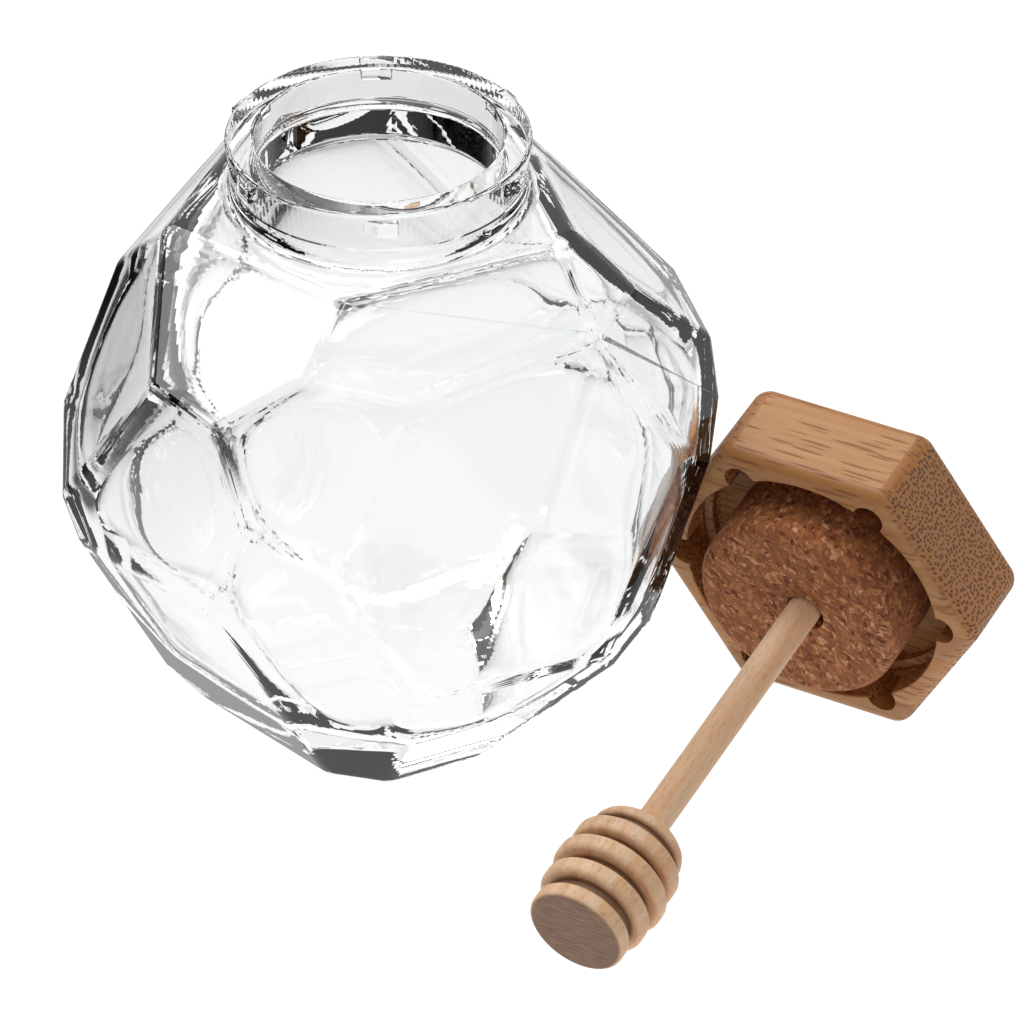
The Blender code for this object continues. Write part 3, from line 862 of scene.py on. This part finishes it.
# %% Dipper
ROD_RADIUS = 2.7
HEAD_LENGTH = 22.1
DISC_RADII = (7.8, 9.1, 9.6, 9.1, 8.2)
DISC_WIDTH = 3.1
DISC_ROUND = 0.9
GROOVE_WIDTH = 1.65
NECK_BETWEEN_DISCS = 6.7
SHOULDER_PROFILE = ((7.4, 1.3), (6.6, 0.5), (5.0, 0.0), (3.2, -0.2), (2.7, -0.7))
z = dipper_length
profile = [(0, z)]
for i, r in enumerate(reversed(DISC_RADII)):
    low = z - DISC_WIDTH
    profile += arc((r - DISC_ROUND, z - DISC_ROUND), DISC_ROUND, 90, 0, 6)
    if i < len(DISC_RADII) - 1:
        profile += arc((r - DISC_ROUND, low + DISC_ROUND), DISC_ROUND, 0, -90, 6)
        profile += [(NECK_BETWEEN_DISCS, low), (NECK_BETWEEN_DISCS, low - GROOVE_WIDTH)]
        z = low - GROOVE_WIDTH
profile += [(r, dipper_length - HEAD_LENGTH + h) for r, h in SHOULDER_PROFILE]
profile += [(ROD_RADIUS, -ROD_HOLE_DEPTH + GAP), (0, -ROD_HOLE_DEPTH + GAP)]
honey_dipper = add_piece("honey_dipper", lathe(profile, 96), dipper_axes)
even_shading(honey_dipper, 40)
honey_dipper.data.materials.clear()
honey_dipper.data.materials.append(turned_wood)

# %% [markdown]
# ## The pieces on the body
# Each piece rides on the one body and replaces its solid, which stays behind it for contact.

# %% Pieces and their solids
for piece, node, slot in (
    (glass_pot, "pot", "clear_glass"),
    (bamboo_lid, "lid", "bamboo"),
    (cork_plug, "cork", "cork_agglomerate"),
    (honey_dipper, "dipper", "turned_wood"),
):
    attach(piece, "root")
    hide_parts(node)
    low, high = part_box(node)
    mine = [piece.matrix_world @ vert.co for vert in piece.data.vertices]
    print(
        f"{piece.name}: box differs from the solid's by "
        + ", ".join(
            f"{(min(p[i] for p in mine) - low[i]) / MM:+.2f}/{(max(p[i] for p in mine) - high[i]) / MM:+.2f}"
            for i in range(3)
        )
    )

# %% [markdown]
# ## The studio
# Clear glass is photographed on a light table, so that it is drawn by its dark edges. The glow fades away from
# the object, and at the left it is cut off as a black flag would cut it, which gives the dark bands of the pot's
# left wall. The wall behind is white and the room in front is dim. The wood is lit by a soft box overhead and by
# the table's own light from below, so a face that is turned down a little stays bright.

# %% Table
work = bmesh.new()
bmesh.ops.create_grid(work, x_segments=1, y_segments=1, size=4000)
bmesh.ops.translate(work, vec=(0, 0, -0.3), verts=work.verts)
table = add_piece("light_table", work)
GLOW_CENTRE = (0.09, -0.02, 0)
NEAR_M = 0.10
FAR_M = 0.5
FAR_GLOW = 0.45
table_finish, tree, shader = new_finish("white_acrylic", "000000", 0.9)
shader.inputs["Specular IOR Level"].default_value = 0.0
shader.inputs["Emission Color"].default_value = (1, 1, 1, 1)
place = add_node(tree, "ShaderNodeTexCoord")
from_glow = add_node(
    tree, "ShaderNodeVectorMath", {0: place.outputs["Object"], 1: GLOW_CENTRE}, operation="SUBTRACT"
)
far = add_node(tree, "ShaderNodeVectorMath", {0: from_glow.outputs[0]}, operation="LENGTH")
fall = add_node(
    tree,
    "ShaderNodeMapRange",
    {"Value": far.outputs["Value"], "From Min": NEAR_M, "From Max": FAR_M, "To Min": 1.0, "To Max": FAR_GLOW},
    interpolation_type="SMOOTHSTEP",
)
seen = add_node(tree, "ShaderNodeLightPath")
spot = add_node(tree, "ShaderNodeSeparateXYZ", {0: place.outputs["Object"]})
flag = add_node(
    tree,
    "ShaderNodeMapRange",
    {"Value": spot.outputs["X"], "From Min": -0.14, "From Max": -0.07, "To Min": 0.03, "To Max": 1.0},
    interpolation_type="SMOOTHSTEP",
)
shaded = add_node(tree, "ShaderNodeMath", {0: fall.outputs[0], 1: flag.outputs[0]}, operation="MULTIPLY")
glow = add_node(tree, "ShaderNodeMix", {"Factor": seen.outputs["Is Camera Ray"], "A": shaded.outputs[0], "B": 1.1})
tree.links.new(glow.outputs[0], shader.inputs["Emission Strength"])
table.data.materials.append(table_finish)
table.visible_diffuse = False

# %% Room
scene = bpy.context.scene
world = bpy.data.worlds.new("studio_room")
scene.world = world
world.use_nodes = True
tree = world.node_tree
tree.nodes.clear()
way_out = add_node(tree, "ShaderNodeTexCoord")
parts = add_node(tree, "ShaderNodeSeparateXYZ", {0: way_out.outputs["Generated"]})
behind = add_node(
    tree,
    "ShaderNodeMapRange",
    {"Value": parts.outputs["Y"], "From Min": -0.1, "From Max": 0.5, "To Min": 0.0, "To Max": 1.0},
    interpolation_type="SMOOTHSTEP",
)
rightward = add_node(
    tree,
    "ShaderNodeMapRange",
    {"Value": parts.outputs["X"], "From Min": -0.8, "From Max": 0.7, "To Min": 0.0, "To Max": 0.9},
    interpolation_type="SMOOTHSTEP",
)
bright = add_node(tree, "ShaderNodeMath", {0: behind.outputs[0], 1: rightward.outputs[0]}, operation="MAXIMUM")
seen = add_node(tree, "ShaderNodeLightPath")
level = add_node(
    tree, "ShaderNodeMath", {0: bright.outputs[0], 1: 1.0, 2: 0.08}, operation="MULTIPLY_ADD"
)
bounce = add_node(
    tree,
    "ShaderNodeMapRange",
    {"Value": parts.outputs["Z"], "From Min": -0.6, "From Max": 0.5, "To Min": 1.0, "To Max": 0.1},
)
soft = add_node(
    tree,
    "ShaderNodeMix",
    {"Factor": seen.outputs["Is Diffuse Ray"], "A": level.outputs[0], "B": bounce.outputs[0]},
)
direct = add_node(tree, "ShaderNodeMix", {"Factor": seen.outputs["Is Camera Ray"], "A": soft.outputs[0], "B": 1.2})
sky = add_node(tree, "ShaderNodeBackground", {"Color": (1, 1, 1, 1), "Strength": direct.outputs[0]})
add_node(tree, "ShaderNodeOutputWorld", {"Surface": sky.outputs[0]})

# %% Lights
def soft_box(name, place, aim, size, watts):
    light = bpy.data.lights.new(name, "AREA")
    light.shape = "RECTANGLE"
    light.size, light.size_y = size
    light.energy = watts
    lamp = bpy.data.objects.new(name, light)
    lamp.location = place
    lamp.rotation_euler = (Vector(place) - Vector(aim)).to_track_quat("Z", "Y").to_euler()
    scene.collection.objects.link(lamp)
    return lamp


soft_box("overhead_box", (-0.25, 0.25, 1.1), (0.03, 0, 0.03), (0.9, 0.9), 11.0)
soft_box("front_fill", (0.5, -1.2, 0.8), (0.03, 0, 0.03), (0.6, 0.6), 1.5)
scene.view_settings.view_transform = "Standard"
scene.view_settings.look = "None"
scene.view_settings.exposure = 0.0
